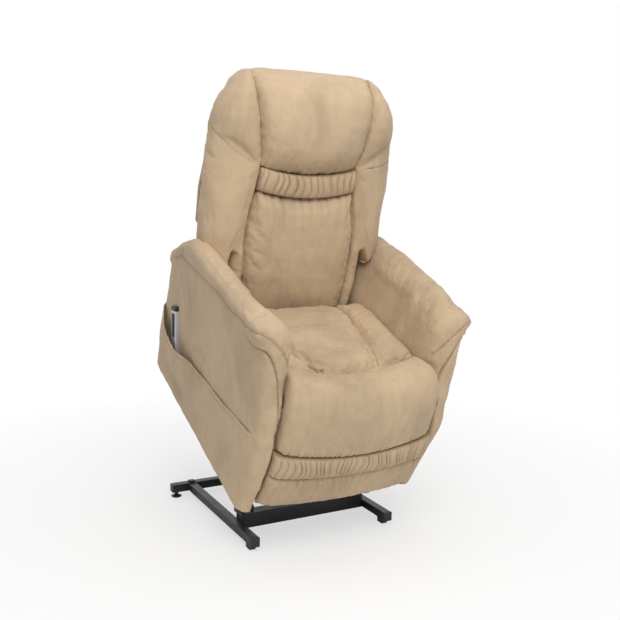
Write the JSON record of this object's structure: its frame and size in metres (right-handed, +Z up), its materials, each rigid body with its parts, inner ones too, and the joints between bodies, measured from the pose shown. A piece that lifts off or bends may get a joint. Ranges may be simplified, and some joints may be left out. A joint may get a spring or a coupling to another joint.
{
  "type": "lift recliner chair",
  "caption": "Upholstered lift recliner chair raised for standing, with reclining back, swing-out legrest, scissor lift base, side pocket and handset.",
  "frame": {"origin": "on the floor, under the middle of the chair's bounding box as raised", "axes": "+Z up, -Y the way the sitter faces, +X to the sitter's left"},
  "size_m": [0.763, 1.0525, 1.545],
  "materials": {
    "suede": "matte brushed microfibre",
    "suede_inner": "matte",
    "black_steel": "satin powder coat",
    "zinc": "zinc plated",
    "black_plastic": "matte",
    "grey_plastic": "matte",
    "silver_plastic": "satin silver",
    "plywood": "bare plywood"
  },
  "bodies": {
    "base": {"left_base_rail": "black_steel", "right_base_rail": "black_steel", "front_cross_bar": "black_steel", "rear_cross_bar": "black_steel", "left_lift_bracket": "black_steel", "right_lift_bracket": "black_steel", "left_rail_glide": "black_plastic", "right_rail_glide": "black_plastic"},
    "rear_arms": {"left_rear_lift_arm": "black_steel", "right_rear_lift_arm": "black_steel", "lift_torque_tube": "black_steel"},
    "front_arms": {"left_front_lift_arm": "black_steel", "right_front_lift_arm": "black_steel"},
    "left_foot": {"left_levelling_foot": "black_steel"},
    "right_foot": {"right_levelling_foot": "black_steel"},
    "lift_motor": {"lift_motor_housing": "grey_plastic"},
    "lift_rod": {"lift_rod": "zinc"},
    "chair_body": {"seat_cushion": "suede", "seat_front_roll": "suede", "left_side_panel": "suede", "right_side_panel": "suede", "left_arm_pad": "suede", "right_arm_pad": "suede", "rear_lower_panel": "suede", "side_pocket": "suede", "seat_frame": "black_steel", "left_mechanism_plate": "black_steel", "right_mechanism_plate": "black_steel", "seat_springs": "zinc", "seat_edge_foam": "suede_inner", "left_body_glide": "black_plastic", "right_body_glide": "black_plastic", "control_box": "grey_plastic"},
    "legrest": {"legrest_upper_pad": "suede", "legrest_band": "suede", "legrest_lower_pad": "suede", "legrest_frame": "black_steel", "legrest_board": "plywood"},
    "legrest_motor": {"legrest_motor_housing": "grey_plastic"},
    "legrest_rod": {"legrest_rod": "zinc"},
    "backrest": {"back_cover": "suede", "lumbar_cushion": "suede", "neck_band": "suede", "head_cushion": "suede", "left_bolster": "suede", "right_bolster": "suede", "left_wing": "suede", "right_wing": "suede", "back_frame": "black_steel", "left_recline_hinge": "black_steel", "right_recline_hinge": "black_steel"},
    "back_motor": {"back_motor_housing": "grey_plastic"},
    "back_rod": {"back_rod": "zinc"},
    "handset": {"handset_shell": "silver_plastic", "handset_cap": "black_plastic", "handset_key_panel": "black_plastic"},
    "key_1": {"handset_key_1": "grey_plastic"},
    "key_2": {"handset_key_2": "grey_plastic"},
    "key_3": {"handset_key_3": "grey_plastic"}
  },
  "joints": [
    {"name": "lift", "type": "hinge", "parent": "base", "child": "rear_arms", "pos_m": [0, -0.098, 0.1317], "axis": [-1, 0, 0], "range_deg": [0, 43.49]},
    {"name": "front_arm_turn", "type": "hinge", "parent": "base", "child": "front_arms", "pos_m": [0, -0.1409, 0.1096], "axis": [-1, 0, 0], "range_deg": [0, 48.3]},
    {"name": "body_tilt", "type": "hinge", "parent": "rear_arms", "child": "chair_body", "pos_m": [0, 0.20074, 0.48117], "axis": [1, 0, 0], "range_deg": [0, 22]},
    {"name": "lift_motor_tail", "type": "hinge", "parent": "base", "child": "lift_motor", "pos_m": [0, 0.3313, 0.078], "axis": [-1, 0, 0], "range_deg": [0, 7.6]},
    {"name": "lift_rod_travel", "type": "slide", "parent": "lift_motor", "child": "lift_rod", "axis": [0, -0.9691, 0.2468], "range_m": [-0.06, 0]},
    {"name": "recline", "type": "hinge", "parent": "chair_body", "child": "backrest", "pos_m": [0, 0.15031, 0.64231], "axis": [-1, 0, 0], "range_deg": [0, 40]},
    {"name": "back_motor_tail", "type": "hinge", "parent": "chair_body", "child": "back_motor", "pos_m": [-0.1, -0.25266, 0.45116], "axis": [-1, 0, 0], "range_deg": [0, 1.1]},
    {"name": "back_rod_travel", "type": "slide", "parent": "back_motor", "child": "back_rod", "axis": [0, 0.9725, 0.2329], "range_m": [-0.069, 0]},
    {"name": "legrest_swing", "type": "hinge", "parent": "chair_body", "child": "legrest", "pos_m": [0, -0.40733, 0.52992], "axis": [-1, 0, 0], "range_deg": [0, 80], "deforming": ["seat_front_roll"]},
    {"name": "legrest_motor_tail", "type": "hinge", "parent": "chair_body", "child": "legrest_motor", "pos_m": [0.1, 0.02832, 0.37922], "axis": [-1, 0, 0], "range_deg": [-1.6, 0]},
    {"name": "legrest_rod_travel", "type": "slide", "parent": "legrest_motor", "child": "legrest_rod", "axis": [0, -0.9657, 0.2595], "range_m": [0, 0.0585]},
    {"name": "handset_lift", "type": "slide", "parent": "chair_body", "child": "handset", "axis": [0, 0, 1], "range_m": [0, 0.12]},
    {"name": "left_foot_level", "type": "slide", "parent": "base", "child": "left_foot", "axis": [0, 0, -1], "range_m": [0, 0.01]},
    {"name": "right_foot_level", "type": "slide", "parent": "base", "child": "right_foot", "axis": [0, 0, -1], "range_m": [0, 0.01]},
    {"name": "key_1_press", "type": "slide", "parent": "handset", "child": "key_1", "axis": [1, 0, 0], "range_m": [0, 0.0012], "stiffness_N_per_m": 400},
    {"name": "key_2_press", "type": "slide", "parent": "handset", "child": "key_2", "axis": [1, 0, 0], "range_m": [0, 0.0012], "stiffness_N_per_m": 400},
    {"name": "key_3_press", "type": "slide", "parent": "handset", "child": "key_3", "axis": [1, 0, 0], "range_m": [0, 0.0012], "stiffness_N_per_m": 400}
  ],
  "couplings": [
    {"joint": "front_arm_turn", "follows": "lift", "ratio": 1.1097},
    {"joint": "body_tilt", "follows": "lift", "ratio": 0.50517},
    {"joint": "lift_motor_tail", "follows": "lift", "ratio": 0.1721},
    {"joint": "lift_rod_travel", "follows": "lift", "m_per_rad": -0.078243},
    {"joint": "back_motor_tail", "follows": "recline", "ratio": 0.026544},
    {"joint": "back_rod_travel", "follows": "recline", "m_per_rad": -0.097409},
    {"joint": "legrest_motor_tail", "follows": "legrest_swing", "ratio": -0.01887},
    {"joint": "legrest_rod_travel", "follows": "legrest_swing", "m_per_rad": 0.041545}
  ]
}
